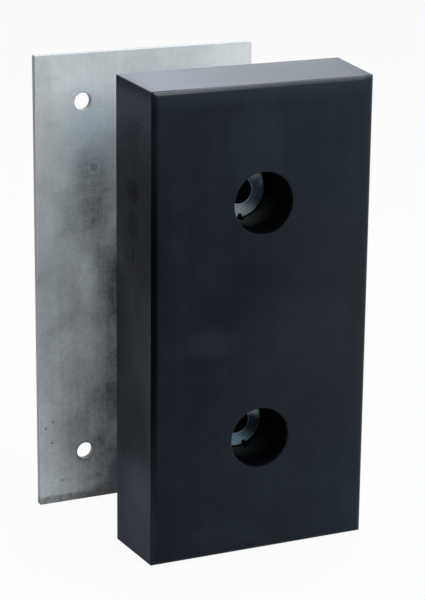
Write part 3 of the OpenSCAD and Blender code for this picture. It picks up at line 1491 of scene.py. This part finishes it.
@dataclass
class MountingPlate:
    """The flat drilled plate, with its sheared edges a little broken.

    The anchors' fields take up band, a share of half the height, at the top and at the bottom.
    """

    corner_r: float = 0.8 * MM
    edge_r: float = 0.45 * MM
    step: float = 4.5 * MM
    band: float = 0.34
    bend_points: int = 4
    face_shares: tuple[float, ...] = (
        0.0, 0.02, 0.06, 0.14, 0.28, 0.46, 0.66, 0.84, 0.95, 0.99, 1.0,
    )
    sharp: float = math.radians(50)
    finish: PlateFinish = field(default_factory=PlateFinish)

    def __post_init__(self) -> None:
        """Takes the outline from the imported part."""
        low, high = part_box(Node.PLATE.value)
        self.middle = (low.x + high.x) / 2, (low.z + high.z) / 2
        self.half = (high.x - low.x) / 2, (high.z - low.z) / 2
        self.near_y, self.far_y = low.y, high.y

    def cells(self, extra: float) -> list[Cell]:
        """Six fields: two across the top and the bottom for the anchors, two broad ones for the bolts.

        Args:
            extra: What is added to each hole's radius at this face.

        Returns:
            The fields.
        """
        left, right = ANCHORS.x - ANCHORS.side, ANCHORS.x + ANCHORS.side
        low, high = ANCHORS.z - ANCHORS.level, ANCHORS.z + ANCHORS.level
        anchor_r, bolt_r = ANCHORS.radius + extra, PLATE_BOLTS.radius + extra
        middle, cut = self.middle[0], 1.0 - self.band
        return [
            Cell(-1.0, 0.0, cut, 1.0, (left, high), anchor_r),
            Cell(0.0, 1.0, cut, 1.0, (right, high), anchor_r),
            Cell(-1.0, 1.0, 0.0, cut, (middle, PLATE_BOLTS.level), bolt_r),
            Cell(-1.0, 1.0, -cut, 0.0, (middle, -PLATE_BOLTS.level), bolt_r),
            Cell(-1.0, 0.0, -1.0, -cut, (left, low), anchor_r),
            Cell(0.0, 1.0, -1.0, -cut, (right, low), anchor_r),
        ]

    def edge_profile(self) -> tuple[Array, Array]:
        """The section of an edge: a quarter round, a flat and a quarter round.

        Returns:
            How far the edge falls back, and its places along Y.
        """
        bend = np.linspace(0.0, QUARTER, self.bend_points)
        fall = self.edge_r * (1 - np.sin(bend))
        near = self.near_y + self.edge_r * (1 - np.cos(bend))
        far = self.far_y - self.edge_r * (1 - np.cos(bend[::-1]))
        return np.concatenate([fall, fall[::-1]]), np.concatenate([near, far])

    def build(self) -> bpy.types.Object:
        """Builds the plate's skin and dresses it.

        Returns:
            The finished piece.
        """
        fall, depth = self.edge_profile()
        cells = self.cells(fall[0])
        slab = BoredSlab(self.middle, self.half, self.corner_r, self.step, cells)
        for level in (depth[0], depth[-1]):
            slab.face(cells, fall[0], level, self.face_shares)
        slab.flanks(fall, depth)
        for cell in cells:
            _, ring = slab.border(cell, fall[0])
            slab.bore(cell.hole, (cell.radius - fall[0] + fall)[:, None], depth, ring)
        piece = slab.skin.piece("zinc_plate", self.sharp)
        return dress(piece, self.finish, Node.PLATE)


# Studio


@dataclass(frozen=True)
class SoftBox:
    """A rectangular studio lamp that looks at a point of the part."""

    name: str
    place: Place
    aim: Place
    size: Spot
    power: float
    tint: Colour = WHITE

    def hang(self) -> None:
        """Hangs the lamp, out of the camera's sight."""
        lamp = bpy.data.lights.new(self.name, "AREA")
        lamp.shape = "RECTANGLE"
        lamp.size, lamp.size_y = self.size
        lamp.energy = self.power
        lamp.color = self.tint
        made = linked(self.name, lamp)
        look = Vector(self.aim) - Vector(self.place)
        made.location = self.place
        made.rotation_euler = look.to_track_quat("-Z", "Y").to_euler()
        made.visible_camera = False


@dataclass
class Studio:
    """Camera, soft lamps, white surroundings and the pale floor.

    The camera's heading turns from +Y towards +X. Its lens and sensor are in millimetres.
    """

    camera_place: Place = (-0.9367859, -1.9947135, 0.6607670)
    heading: float = math.radians(24.7714)
    pitch: float = math.radians(-16.6871)
    roll: float = math.radians(0.6023)
    lens: float = 131.2568
    sensor: float = 36.0
    sight: float = 60.0
    floor_half: float = 9.0
    ambient: float = 0.28
    floor: FloorFinish = field(default_factory=FloorFinish)
    lamps: tuple[SoftBox, ...] = (
        SoftBox("key_front", (0.75, -2.15, 1.30), (0.0, 0.0, 0.0), (0.9, 0.9), 30.0),
        SoftBox("overhead", (0.3, 0.0, 1.75), (0.0, 0.0, 0.0), (1.4, 1.4), 38.0, (0.88, 0.94, 1.0)),
        SoftBox("back_top", (0.12, 2.1, 1.0), (0.0, 0.0, 0.25), (2.4, 1.2), 16.0, (0.80, 0.90, 1.0)),
    )

    def set_camera(self) -> None:
        """Aims the camera: heading turns it about Z, pitch tips it and roll turns it on its axis."""
        level = math.cos(self.pitch)
        right = Vector((math.cos(self.heading), -math.sin(self.heading), 0.0))
        forward = Vector(
            (math.sin(self.heading) * level, math.cos(self.heading) * level, math.sin(self.pitch))
        )
        up = right.cross(forward)
        across = right * math.cos(self.roll) + up * math.sin(self.roll)
        above = up * math.cos(self.roll) - right * math.sin(self.roll)
        camera = bpy.data.cameras.new("camera")
        camera.lens = self.lens
        camera.sensor_width = self.sensor
        camera.clip_end = self.sight
        made = linked("camera", camera)
        turn = Matrix((across, above, -forward)).transposed()
        made.matrix_world = Matrix.Translation(self.camera_place) @ turn.to_4x4()
        bpy.context.scene.camera = made

    def set_world(self) -> None:
        """White wherever the background shows, and a dimmer even light from all sides."""
        world = bpy.data.worlds.new("studio")
        world.use_nodes = True
        graph = Graph(world.node_tree)
        soft, white = (
            graph.add("ShaderNodeBackground", sockets={"Color": WHITE, "Strength": strength})
            for strength in (self.ambient, 1.0)
        )
        shown = graph.mixed(seen_ray(graph), soft, white)
        graph.add("ShaderNodeOutputWorld", sockets={"Surface": shown})
        bpy.context.scene.world = world

    def lay_floor(self) -> None:
        """Lays a square floor under the part, as a grid of 2 by 2 points."""
        side = np.array([-self.floor_half, self.floor_half])
        x, y = np.meshgrid(side, side, indexing="ij")
        grid = np.stack([x, y, np.full_like(x, FLOOR_Z)], axis=-1)
        mesh = bpy.data.meshes.new("floor")
        mesh.from_pydata(grid.reshape(-1, 3), [], [(0, 2, 3, 1)])
        mesh.materials.append(self.floor.material())
        made = linked("floor", mesh)

    def set_up(self) -> None:
        """Sets up the whole studio."""
        bpy.context.scene.view_settings.view_transform = "Standard"
        self.set_camera()
        self.set_world()
        self.lay_floor()
        for lamp in self.lamps:
            lamp.hang()
        LOG.info("studio has %d lamps", len(self.lamps))


def main() -> None:
    """Builds the pieces in order and sets up the studio."""
    logging.basicConfig(level=logging.INFO, format="%(name)s: %(message)s")
    RubberBlock().build()
    BoltSeats().dress()
    MountingPlate().build()
    Studio().set_up()


if __name__ == "__main__":
    main()
